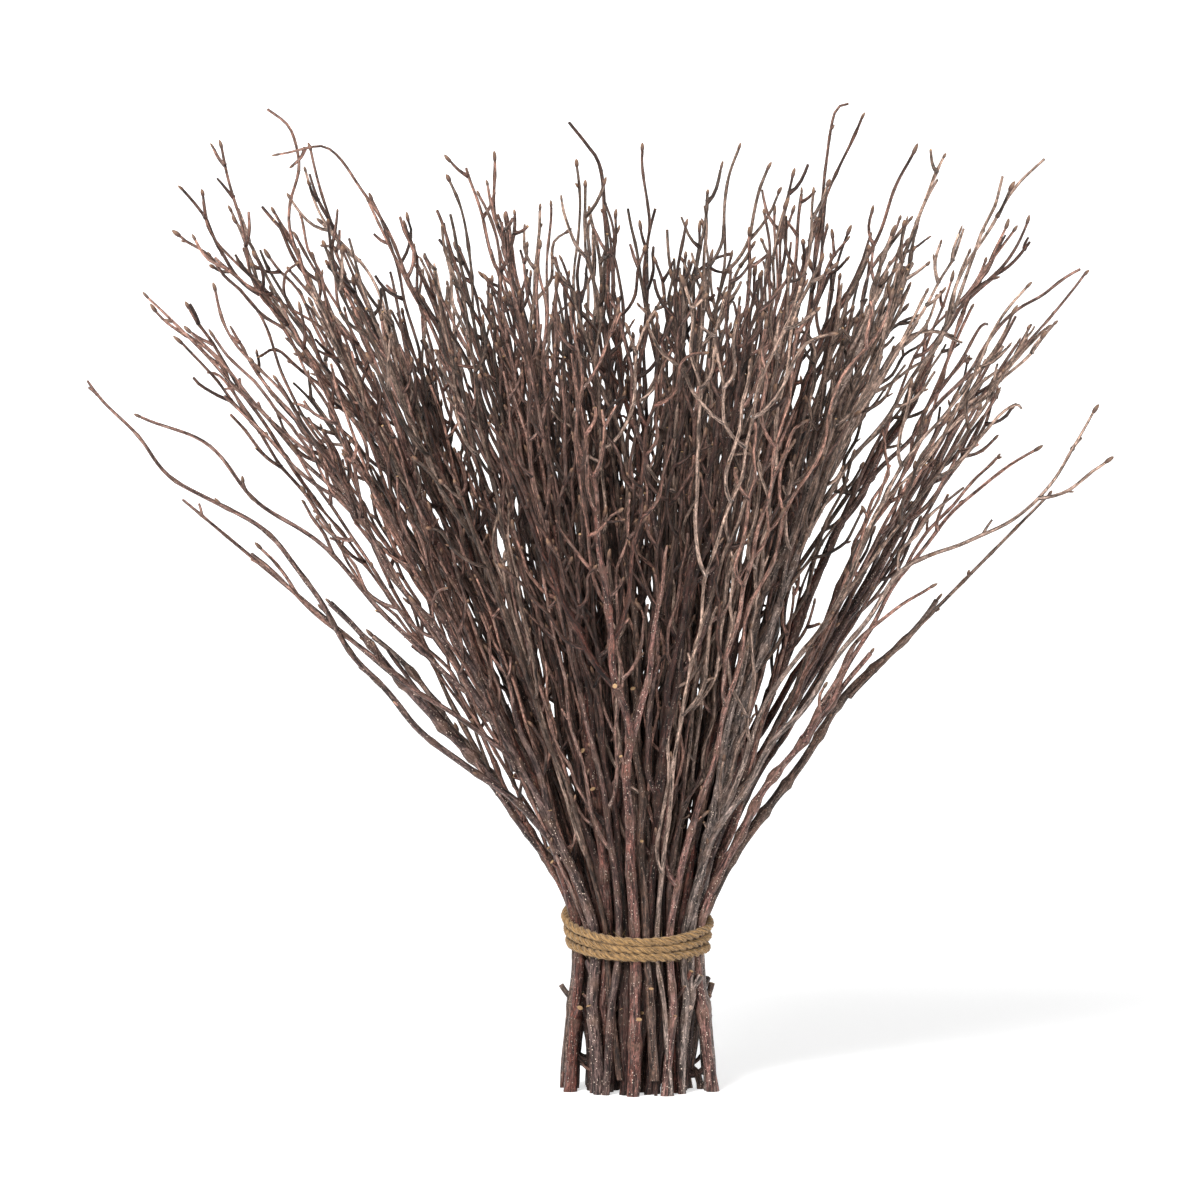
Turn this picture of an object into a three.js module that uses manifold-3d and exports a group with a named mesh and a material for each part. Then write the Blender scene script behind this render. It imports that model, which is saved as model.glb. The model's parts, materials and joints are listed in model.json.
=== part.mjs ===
// A bundle of cut birch twigs, tied round its neck with three turns of jute rope and standing on its
// cut ends. Millimetres, +Z up, seen from the front along +Y. The origin is on the floor, in the
// middle of the cut end of the bundle's middle twig.
import * as THREE from 'three';
import * as BufferGeometryUtils from 'three/addons/utils/BufferGeometryUtils.js';
import Module from 'manifold-3d';

// Driving dimensions: the whole bundle.
const TWIG_COUNT = 47;
const INNER_BUNDLE_COUNT = 11;
const CROWN_HALF_WIDTH = 196;
const CROWN_HALF_DEPTH = 200;
const CROWN_SHIFT = -12;
const SHORTEST_TWIG = 378;
const LONGEST_TWIG = 424;
const TIE_HEIGHT = 64;
const BASE_SPREAD = 1.24;
const BASE_JITTER = 8;
const SHORT_CUT = 9;
const LEAN_POWER = 1.25;
const CROSSING = 0.4;

// Half-width of the bundle at the tie, as [height, radius]: narrowest just under the rope.
const THROAT = [[0, 35], [24, 33.4], [46, 30.4], [60, 28.6], [72, 29.4], [84, 33], [100, 41]];

// Tips that make the outline, as [x, y, z]: the left side, the top, then the right side.
const OUTLINE_TIPS = [
  [-233, -15, 311], [-209, 42, 295], [-207, 12, 347], [-190, -62, 335],
  [-183, 35, 388], [-175, -28, 412], [-155, 15, 428], [-149, 82, 410],
  [-67, -64, 411], [-47, 95, 407], [-23, 24, 421], [95, -34, 428],
  [126, 66, 410], [138, -74, 418], [181, 22, 408], [198, -12, 360],
  [201, 28, 297], [176, -58, 280], [175, 70, 333], [165, -98, 352],
];

const MIDDLE_TIP = [4, -6, 415];

// Twigs: one radius for the cut end, thinning to the tip, in facets.
const TWIG_RADIUS = 2.1;
const TWIG_RADIUS_SPREAD = 0.95;
const MIDDLE_TWIG_RADIUS = 3;
const INNER_BUNDLE_RADIUS = 6.3;
const TAPER = 0.78;
const ROD_SIDES = 5;

// Side forks: every fourth twig has one, which leaves the stem at a level and stays close to it.
const FORK_EVERY = 4;
const FORK_LEVELS = [7, 8];
const FORK_RISE = 92;
const FORK_REACH = 34;
const FORK_THINNING = 0.8;

// Rope: three turns from back to back. They lie side by side in front and fan out behind.
const ROPE_RADIUS = 1.75;
const ROPE_TURNS = 3;
const ROPE_PITCH = 3.75;
const ROPE_LOWEST_FRONT = 59.4;
const ROPE_BACK_RISE = [5, 17];
const ROPE_QUARTER_SIDES = 4;
const ROPE_STEPS_PER_TURN = 28;
const KNOT_HEIGHT = 73;
const KNOT_SPAN = 0.3 * Math.PI;
const KNOT_RADII = [7, 4.6, 5.2];
const TAIL_LENGTH = 24;
const GAP = 0.34;

// Levels where every twig has a section. Between two levels a twig is straight.
const LEVELS = [0, 26, 48, 64, 80, 102, 132, 172, 216, 262, 310, 360, 434];
const SETTLING_PASSES = 400;
const FINAL_PASSES = 120;

const BARK_COLOURS = ['#5a3a35', '#4c3330', '#6a4338', '#574a48', '#3f2d2c'];
const ROPE_COLOUR = '#aa8750';

const wasm = await Module();
wasm.setup();

// A repeatable stream of numbers from 0 to 1.
function numberStream(seed) {
  let state = seed;
  return () => {
    state = (state + 0x6d2b79f5) | 0;
    let mixed = Math.imul(state ^ (state >>> 15), 1 | state);
    mixed = (mixed + Math.imul(mixed ^ (mixed >>> 7), 61 | mixed)) ^ mixed;
    return ((mixed ^ (mixed >>> 14)) >>> 0) / 4294967296;
  };
}

const random = numberStream(17);
const between = (low, high) => low + (high - low) * random();

// Value at a height of a profile made of [height, value] points.
function profileAt(profile, height) {
  const above = profile.findIndex(([level]) => level > height);
  if (above === 0) return profile[0][1];
  if (above < 0) return profile[profile.length - 1][1];
  const [low, high] = [profile[above - 1], profile[above]];
  return THREE.MathUtils.mapLinear(height, low[0], high[0], low[1], high[1]);
}

// Height of the tip of a twig of a given length that leans out to a given reach.
function tipHeight(length, reach) {
  const aboveTie = length - TIE_HEIGHT;
  return TIE_HEIGHT + Math.sqrt(aboveTie ** 2 - Math.max(0, reach - 20) ** 2);
}

// Tips in the gaps between the outline tips, spread over the crown's plan by the golden angle.
function fillingTips(count, nearest, farthest) {
  const golden = Math.PI * (3 - Math.sqrt(5));
  return Array.from({ length: count }, (_, index) => {
    const spread = THREE.MathUtils.lerp(nearest, farthest, Math.sqrt((index + 0.5) / count));
    const angle = index * golden + between(-0.2, 0.2);
    const x = CROWN_SHIFT + CROWN_HALF_WIDTH * spread * Math.cos(angle);
    const y = CROWN_HALF_DEPTH * spread * Math.sin(angle);
    return [x, y, tipHeight(between(SHORTEST_TWIG, LONGEST_TWIG), Math.hypot(x, y))];
  });
}

// Sideways sway of a twig at a height: none in the tie, more towards the tip.
function swayMaker(size) {
  const phases = [between(0, 6.3), between(0, 6.3), between(0, 6.3), between(0, 6.3)];
  return (height) => {
    const amount = size * Math.min(1, Math.abs(height - TIE_HEIGHT) / 220);
    return new THREE.Vector2(
      amount * (Math.sin(height / 41 + phases[0]) + 0.5 * Math.sin(height / 19 + phases[1])),
      amount * (Math.sin(height / 46 + phases[2]) + 0.5 * Math.sin(height / 21 + phases[3])),
    );
  };
}

// A rod's radius at a height, between its first and last sections.
function rodRadius(rod, height) {
  const along = THREE.MathUtils.clamp((height - rod.bottom) / (rod.top - rod.bottom), 0, 1);
  return rod.radius * (1 - TAPER * along ** 0.9);
}

// A rod from the floor through the tie to its tip, before it settles against its neighbours. It
// passes the tie at a share of the throat's radius, not quite on the side that its tip leans to.
function standingRod(name, tip, radius, outward, sway) {
  const reach = new THREE.Vector2(tip[0], tip[1]);
  const throat = profileAt(THROAT, TIE_HEIGHT) - radius;
  const neck = reach.clone().setLength(throat * outward);
  neck.rotateAround(new THREE.Vector2(), between(-CROSSING, CROSSING));
  const base = neck.clone().multiplyScalar(BASE_SPREAD);
  base.x += between(-BASE_JITTER, BASE_JITTER);
  base.y += between(-BASE_JITTER, BASE_JITTER);
  const lean = LEAN_POWER + between(-0.1, 0.12);
  const swayAt = swayMaker(sway);
  const last = LEVELS.findIndex((level) => level >= tip[2]);
  const spine = LEVELS.slice(0, last + 1).map((height) => {
    const up = Math.max(0, (height - TIE_HEIGHT) / (tip[2] - TIE_HEIGHT)) ** lean;
    const down = Math.max(0, 1 - height / TIE_HEIGHT);
    const place = neck.clone().lerp(reach, up).lerp(base, down);
    return place.add(swayAt(height));
  });
  return { name, radius, spine, first: 0, bottom: 0, top: tip[2] };
}

// A side fork of a stem: it leaves the stem's spine at a level and leans away from it.
function forkRod(stem, level) {
  const start = stem.spine[level - stem.first];
  const bottom = LEVELS[level];
  const top = Math.min(bottom + FORK_RISE + between(-8, 8), stem.top - 12);
  const last = LEVELS.findIndex((height) => height >= top);
  const side = Math.sign(between(-1, 1)) * between(0.5, 1.3);
  const reach = new THREE.Vector2(FORK_REACH, 0).rotateAround(new THREE.Vector2(), start.angle() + side);
  const stemRise = stem.spine[last - stem.first].clone().sub(start);
  const spine = LEVELS.slice(level, last + 1).map((height) => {
    const up = (height - bottom) / (LEVELS[last] - bottom);
    return start.clone().addScaledVector(stemRise, up).addScaledVector(reach, up);
  });
  const radius = FORK_THINNING * rodRadius(stem, bottom);
  return { name: stem.name, radius, spine, first: level, bottom, top, stem };
}

// Pushes two rods apart between two levels until their round sections clear each other.
function separatePair(one, other, level, growth) {
  const [a, b] = [one.spine[level - one.first], one.spine[level + 1 - one.first]];
  const [c, d] = [other.spine[level - other.first], other.spine[level + 1 - other.first]];
  const start = a.clone().sub(c);
  const change = b.clone().sub(d).sub(start);
  const closest = THREE.MathUtils.clamp(-start.dot(change) / (change.lengthSq() + 1e-9), 0, 1);
  const apart = start.addScaledVector(change, closest);
  const height = THREE.MathUtils.lerp(LEVELS[level], LEVELS[level + 1], closest);
  const needed = growth * (rodRadius(one, height) + rodRadius(other, height)) + GAP;
  const distance = apart.length() + 1e-6;
  if (distance >= needed) return;
  const weight = (1 - closest) ** 2 + closest ** 2;
  const push = apart.multiplyScalar((needed - distance) / (2 * weight * distance));
  a.addScaledVector(push, 1 - closest);
  c.addScaledVector(push, closest - 1);
  b.addScaledVector(push, closest);
  d.addScaledVector(push, -closest);
}

function separateAll(rods, growth) {
  for (let i = 0; i < rods.length; i += 1) {
    for (let j = i + 1; j < rods.length; j += 1) {
      const [one, other] = [rods[i], rods[j]];
      if (one.stem === other || other.stem === one) continue;
      const lowest = Math.max(one.first, other.first);
      const highest = Math.min(one.first + one.spine.length, other.first + other.spine.length) - 1;
      for (let level = lowest; level < highest; level += 1) separatePair(one, other, level, growth);
    }
  }
}

// Evens out how far each rod has been pushed from its own shape, so that it bends smoothly.
function easeBends(rod) {
  const moved = rod.spine.map((place, index) => place.clone().sub(rod.shape[index]));
  for (let index = 1; index < moved.length - 1; index += 1) {
    const even = moved[index - 1].clone().add(moved[index + 1]).multiplyScalar(0.5);
    rod.spine[index].addScaledVector(even.sub(moved[index]), 0.3);
  }
}

// Keeps a rod inside the throat of the tie.
function holdInTie(rod, growth) {
  rod.spine.forEach((place, index) => {
    const height = LEVELS[rod.first + index];
    if (height > 90) return;
    const limit = profileAt(THROAT, height) - growth * rodRadius(rod, height);
    if (place.length() > limit) place.setLength(limit);
  });
}

// Settles the rods against each other: they swell to full size, then get a last parting.
function settle(rods) {
  rods.forEach((rod) => {
    rod.shape = rod.spine.map((place) => place.clone());
  });
  for (let pass = 0; pass < SETTLING_PASSES + FINAL_PASSES; pass += 1) {
    const growth = Math.min(1, 0.2 + (1.2 * pass) / SETTLING_PASSES);
    separateAll(rods, growth);
    if (pass < SETTLING_PASSES) rods.forEach(easeBends);
    rods.forEach((rod) => holdInTie(rod, growth));
    rods.filter((rod) => rod.stem).forEach((rod) => {
      rod.spine[0].copy(rod.stem.spine[rod.first - rod.stem.first]);
    });
  }
}

// Centre of a settled rod at a height.
function rodCentre(rod, height) {
  const above = LEVELS.findIndex((level) => level >= height && level > LEVELS[rod.first]);
  const along = (height - LEVELS[above - 1]) / (LEVELS[above] - LEVELS[above - 1]);
  const low = rod.spine[above - 1 - rod.first];
  return low.clone().lerp(rod.spine[above - rod.first], along);
}

// A closed faceted rod: a cylinder whose rings are moved to the rod's sections, each one level.
function rodGeometry(rod) {
  const inside = LEVELS.filter((level) => level > rod.bottom && level < rod.top);
  const heights = [rod.bottom, ...inside, rod.top];
  const segments = heights.length - 1;
  const geometry = new THREE.CylinderGeometry(1, 1, segments, ROD_SIDES, segments);
  geometry.rotateX(Math.PI / 2).translate(0, 0, segments / 2);
  const places = geometry.attributes.position;
  for (let index = 0; index < places.count; index += 1) {
    const height = heights[Math.round(places.getZ(index))];
    const centre = rodCentre(rod, height);
    const radius = rodRadius(rod, height);
    places.setXYZ(
      index,
      centre.x + radius * places.getX(index),
      centre.y + radius * places.getY(index),
      height,
    );
  }
  return geometry;
}

function solidOf(geometry) {
  const bare = geometry.clone().deleteAttribute('normal').deleteAttribute('uv');
  const merged = BufferGeometryUtils.mergeVertices(bare, 1e-4);
  const vertProperties = new Float32Array(merged.attributes.position.array);
  const triVerts = new Uint32Array(merged.index.array);
  return new wasm.Manifold(new wasm.Mesh({ numProp: 3, vertProperties, triVerts }));
}

// One closed geometry of several that run into each other.
function joined(geometries) {
  const whole = geometries.map(solidOf).reduce((sum, solid) => sum.add(solid));
  const { vertProperties, triVerts } = whole.getMesh();
  const geometry = new THREE.BufferGeometry();
  geometry.setAttribute('position', new THREE.BufferAttribute(vertProperties, 3));
  geometry.setIndex(new THREE.BufferAttribute(triVerts, 1));
  geometry.computeVertexNormals();
  return geometry;
}

// Farthest that any rod reaches from the axis within a rope's width of a height.
function girth(rods, height) {
  const heights = [height - ROPE_RADIUS, height, height + ROPE_RADIUS];
  const reaches = heights.flatMap((level) => rods
    .filter((rod) => rod.bottom < level && !rod.stem)
    .map((rod) => rodCentre(rod, level).length() + rodRadius(rod, level)));
  return Math.max(...reaches);
}

// The rope's own line: round the throat from back to back, its two ends rising to the knot.
class TieRoute extends THREE.Curve {
  constructor(rods) {
    super();
    this.rods = rods;
  }

  getPoint(t, target = new THREE.Vector3()) {
    const turned = t * ROPE_TURNS * 2 * Math.PI;
    const toKnot = Math.min(turned, ROPE_TURNS * 2 * Math.PI - turned);
    const clear = THREE.MathUtils.smoothstep(toKnot, 0, KNOT_SPAN);
    const front = ROPE_LOWEST_FRONT + ROPE_PITCH * (turned / (2 * Math.PI) - 0.5);
    const rise = THREE.MathUtils.lerp(...ROPE_BACK_RISE, t) * (1 + Math.cos(turned)) / 2;
    const height = THREE.MathUtils.lerp(KNOT_HEIGHT, front + rise, clear);
    const lift = (2 * ROPE_RADIUS + GAP) * (1 - clear);
    const radius = girth(this.rods, height) + ROPE_RADIUS + GAP + lift;
    return target.set(radius * Math.sin(turned), radius * Math.cos(turned), height);
  }
}

function ropeGeometry(rods) {
  const section = new THREE.Shape().absarc(0, 0, ROPE_RADIUS, 0, 2 * Math.PI);
  const along = (path, steps) => new THREE.ExtrudeGeometry(section, {
    curveSegments: ROPE_QUARTER_SIDES,
    steps,
    bevelEnabled: false,
    extrudePath: path,
  });
  const turns = along(new TieRoute(rods), ROPE_TURNS * ROPE_STEPS_PER_TURN);
  const knotCentre = new THREE.Vector3(0, girth(rods, KNOT_HEIGHT) + 3.4 * ROPE_RADIUS, KNOT_HEIGHT);
  const knot = new THREE.SphereGeometry(1, 12, 8);
  knot.scale(...KNOT_RADII).translate(...knotCentre);
  const tails = [-1, 1].map((side) => {
    const bend = knotCentre.clone().add(new THREE.Vector3(side * TAIL_LENGTH / 2, 3, -3));
    const end = knotCentre.clone().add(new THREE.Vector3(side * TAIL_LENGTH * 0.7, 5, -TAIL_LENGTH / 2));
    return along(new THREE.QuadraticBezierCurve3(knotCentre, bend, end), 6);
  });
  return joined([turns, knot, ...tails]);
}

function named(name, geometry, colour) {
  const material = new THREE.MeshStandardMaterial({ color: colour, roughness: 0.8, metalness: 0 });
  const mesh = new THREE.Mesh(geometry, material);
  mesh.name = name;
  return mesh;
}

const numbered = (stem, index) => `${stem}_${String(index + 1).padStart(2, '0')}`;

// The middle twig stands on the origin. The outline's twigs and the filling ones are round the rim.
function twigRods() {
  const filling = fillingTips(TWIG_COUNT - OUTLINE_TIPS.length - 1, 0.42, 0.97);
  const middle = standingRod(numbered('twig', 0), MIDDLE_TIP, MIDDLE_TWIG_RADIUS, 0, 2);
  const outer = [...OUTLINE_TIPS, ...filling].map((tip, index) => {
    const radius = TWIG_RADIUS + TWIG_RADIUS_SPREAD * random();
    return standingRod(numbered('twig', index + 1), tip, radius, between(0.84, 1), 4);
  });
  return [middle, ...outer];
}

// Inner bundles: each is one slender solid in place of four or five twigs too many to count singly.
function innerRods() {
  return fillingTips(INNER_BUNDLE_COUNT, 0.1, 0.55).map((tip, index) => {
    const outward = 0.75 * Math.sqrt((index + 0.5) / INNER_BUNDLE_COUNT);
    return standingRod(numbered('inner_twigs', index), tip, INNER_BUNDLE_RADIUS, outward, 2);
  });
}

// Some outer twigs were cut shorter, so their ends hang just clear of the floor.
function cutShort(rod, index) {
  if (index % 6 === 5) rod.bottom = SHORT_CUT * between(0.5, 1);
}

function twigBundle() {
  const twigs = twigRods();
  const inner = innerRods();
  const forked = twigs.filter((_, index) => index % FORK_EVERY === 1);
  const forks = forked.map((stem, index) => forkRod(stem, FORK_LEVELS[index % FORK_LEVELS.length]));
  settle([...twigs, ...inner, ...forks]);
  twigs.forEach(cutShort);

  const bundle = new THREE.Group();
  twigs.forEach((rod, index) => {
    const own = forks.filter((fork) => fork.stem === rod);
    const geometry = own.length ? joined([rod, ...own].map(rodGeometry)) : rodGeometry(rod);
    bundle.add(named(rod.name, geometry, BARK_COLOURS[index % BARK_COLOURS.length]));
  });
  inner.forEach((rod) => bundle.add(named(rod.name, rodGeometry(rod), BARK_COLOURS[4])));
  bundle.add(named('binding_rope', ropeGeometry([...twigs, ...inner]), ROPE_COLOUR));

  const middle = rodCentre(twigs[0], 0);
  bundle.position.set(-middle.x, -middle.y, 0);
  return bundle;
}

export default twigBundle();
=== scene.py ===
# A tied bundle of cut birch twigs: its looks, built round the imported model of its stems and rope.
# Lengths are millimetres and angles radians. Meshes are scaled to Blender's metres as they are made.
import json
from collections import namedtuple

import bpy
import numpy as np
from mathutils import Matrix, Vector


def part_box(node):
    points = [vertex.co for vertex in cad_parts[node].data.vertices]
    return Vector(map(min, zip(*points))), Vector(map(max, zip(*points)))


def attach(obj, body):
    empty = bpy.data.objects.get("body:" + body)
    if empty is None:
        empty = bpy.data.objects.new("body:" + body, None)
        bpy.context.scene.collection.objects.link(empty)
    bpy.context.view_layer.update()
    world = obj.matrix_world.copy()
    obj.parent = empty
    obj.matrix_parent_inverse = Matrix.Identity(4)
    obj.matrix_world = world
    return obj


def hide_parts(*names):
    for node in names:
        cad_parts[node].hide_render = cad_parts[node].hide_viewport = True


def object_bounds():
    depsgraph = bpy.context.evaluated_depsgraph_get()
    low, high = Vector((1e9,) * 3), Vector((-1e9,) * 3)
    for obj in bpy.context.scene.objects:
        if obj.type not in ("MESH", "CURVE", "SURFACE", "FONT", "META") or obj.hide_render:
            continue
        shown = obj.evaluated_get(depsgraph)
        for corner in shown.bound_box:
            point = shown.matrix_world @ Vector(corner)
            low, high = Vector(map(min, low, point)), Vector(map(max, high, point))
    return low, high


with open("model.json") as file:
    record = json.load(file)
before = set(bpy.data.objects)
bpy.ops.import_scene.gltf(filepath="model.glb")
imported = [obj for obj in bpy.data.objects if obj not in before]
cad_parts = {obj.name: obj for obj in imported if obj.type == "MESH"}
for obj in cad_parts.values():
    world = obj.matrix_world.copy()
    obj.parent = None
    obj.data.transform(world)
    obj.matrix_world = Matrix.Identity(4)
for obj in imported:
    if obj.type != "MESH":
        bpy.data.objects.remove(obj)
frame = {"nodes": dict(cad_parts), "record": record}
CAD_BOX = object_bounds()
MM = 0.001
UP = np.array([0.0, 0.0, 1.0])

# The tie, from the rope's solid.
ROPE_LOW, ROPE_HIGH = (np.array(corner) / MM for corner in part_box("binding_rope"))
TIE_BOTTOM, TIE_TOP = ROPE_LOW[2], ROPE_HIGH[2]
TIE_MIDDLE = (TIE_BOTTOM + TIE_TOP) / 2

# Slices through the solids, and the smoothing of the lines found in them.
SLICE_GAP = 7.0
SLICE_INSET = 0.63
SOFTENING = 8.0
PENTAGON_AREA = 2.3776

# Materials, in slot order.
BARK, BUD, CUT = 0, 1, 2

TWIG_SEED, ROPE_SEED = 4000, 77


# -------- reading the solids

def solid_corners(node):
    """The corners of each triangle of a CAD node."""
    mesh = frame["nodes"][node].data
    mesh.calc_loop_triangles()
    places = np.empty(3 * len(mesh.vertices))
    mesh.vertices.foreach_get("co", places)
    corners = np.empty(3 * len(mesh.loop_triangles), int)
    mesh.loop_triangles.foreach_get("vertices", corners)
    return places.reshape(-1, 3)[corners].reshape(-1, 3, 3) / MM


def outlines(corners, normal, offset):
    """Centre and area of each closed outline in which a plane cuts a solid."""
    depth = corners @ normal - offset
    crossed = (depth.min(1) < 0) & (depth.max(1) > 0)
    one, depth = corners[crossed], depth[crossed]
    other, other_depth = np.roll(one, -1, axis=1), np.roll(depth, -1, axis=1)
    share = depth / (depth - other_depth + 1e-12)
    cuts = one + share[..., None] * (other - one)
    edges = cuts[depth * other_depth < 0].reshape(-1, 2, 3)
    found = []
    left = list(range(len(edges)))
    while left:
        loop = [left.pop()]
        for current in loop:
            ends = edges[current]
            near = [k for k in left if np.abs(edges[k][:, None] - ends[None]).sum(2).min() < 0.02]
            loop += near
            left = [k for k in left if k not in near]
        part = edges[loop]
        weight = np.linalg.norm(part[:, 1] - part[:, 0], axis=1) + 1e-9
        centre = (part.mean(1) * weight[:, None]).sum(0) / weight.sum()
        spokes = np.cross(part[:, 0] - centre, part[:, 1] - centre)
        found.append((centre, 0.5 * np.linalg.norm(spokes, axis=1).sum()))
    return found


def level_lines(node):
    """Stem line and fork line of a twig's solid, as rows of x, y, z and radius from low to high."""
    corners = solid_corners(node)
    bottom, top = corners[..., 2].min(), corners[..., 2].max()
    stem, fork = [], []
    for height in np.arange(bottom + SLICE_INSET, top - SLICE_INSET, SLICE_GAP):
        found = [np.append(centre, np.sqrt(area / PENTAGON_AREA))
                 for centre, area in outlines(corners, UP, height)]
        expected = 2 * stem[-1] - stem[-2] if len(stem) > 1 else found[0]
        found.sort(key=lambda row: np.linalg.norm(row[:3] - expected[:3]))
        stem.append(found[0])
        fork += found[1:2]
    stem = extended(np.array(stem), bottom, top)
    return stem, rooted(np.array(fork), stem) if len(fork) > 3 else None


def extended(rows, bottom, top):
    """Rows carried on in line to a lowest and a highest level."""
    def carried(end, inner, level):
        share = (level - end[2]) / (end[2] - inner[2])
        row = end + share * (end - inner)
        row[3] = max(0.35, row[3])
        return row
    return np.vstack([carried(rows[0], rows[1], bottom), rows, carried(rows[-1], rows[-2], top)])


def rooted(fork, stem):
    """A fork's line led down to the stem that it grows from."""
    def stem_at(height):
        return np.array([np.interp(height, stem[:, 2], stem[:, k]) for k in range(4)])
    gaps = [np.linalg.norm((row - stem_at(row[2]))[:2]) for row in fork[:4:3]]
    opening = max(0.15, (gaps[1] - gaps[0]) / (fork[3, 2] - fork[0, 2]))
    start = stem_at(fork[0, 2] - gaps[0] / opening)
    start[3] = fork[0, 3] * 1.05
    return np.vstack([start, fork])


# -------- lines

def unit(rows):
    return rows / (np.linalg.norm(rows, axis=-1, keepdims=True) + 1e-12)


def run_length(points):
    return np.append(0.0, np.cumsum(np.linalg.norm(np.diff(points, axis=0), axis=1)))


def even_rows(rows, step):
    """Rows of x, y, z and more, spaced evenly along their line."""
    run = run_length(rows[:, :3])
    at = np.linspace(0, run[-1], max(5, int(round(run[-1] / step)) + 1))
    return np.column_stack([np.interp(at, run, column) for column in rows.T])


def softened(rows, width):
    """Rows smoothed along their order over a width in rows. Both ends stay in place."""
    reach = min(int(3 * width), len(rows) - 2)
    if reach < 1:
        return rows
    kernel = np.exp(-0.5 * (np.arange(-reach, reach + 1) / width) ** 2)
    before = 2 * rows[0] - rows[reach:0:-1]
    after = 2 * rows[-1] - rows[-2:-reach - 2:-1]
    padded = np.concatenate([before, rows, after])
    return np.column_stack([np.convolve(column, kernel / kernel.sum(), "valid")
                            for column in padded.T])


def side_axes(points):
    """Two unit vectors across a line at each of its points, turning as little as they can."""
    tangents = unit(np.gradient(points, axis=0))
    steady = np.linalg.eigh(tangents.T @ tangents)[1][:, 0]
    across = unit(steady - (tangents @ steady)[:, None] * tangents)
    return across, np.cross(tangents, across)


def perpendicular(direction, towards):
    """The unit vector nearest to towards that is square to a direction."""
    return unit(towards - (towards @ direction) * direction)


# -------- skins

def placed(name, data):
    """A new object in the scene, for a mesh, a light or a camera."""
    thing = bpy.data.objects.new(name, data)
    bpy.context.scene.collection.objects.link(thing)
    return thing


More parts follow.
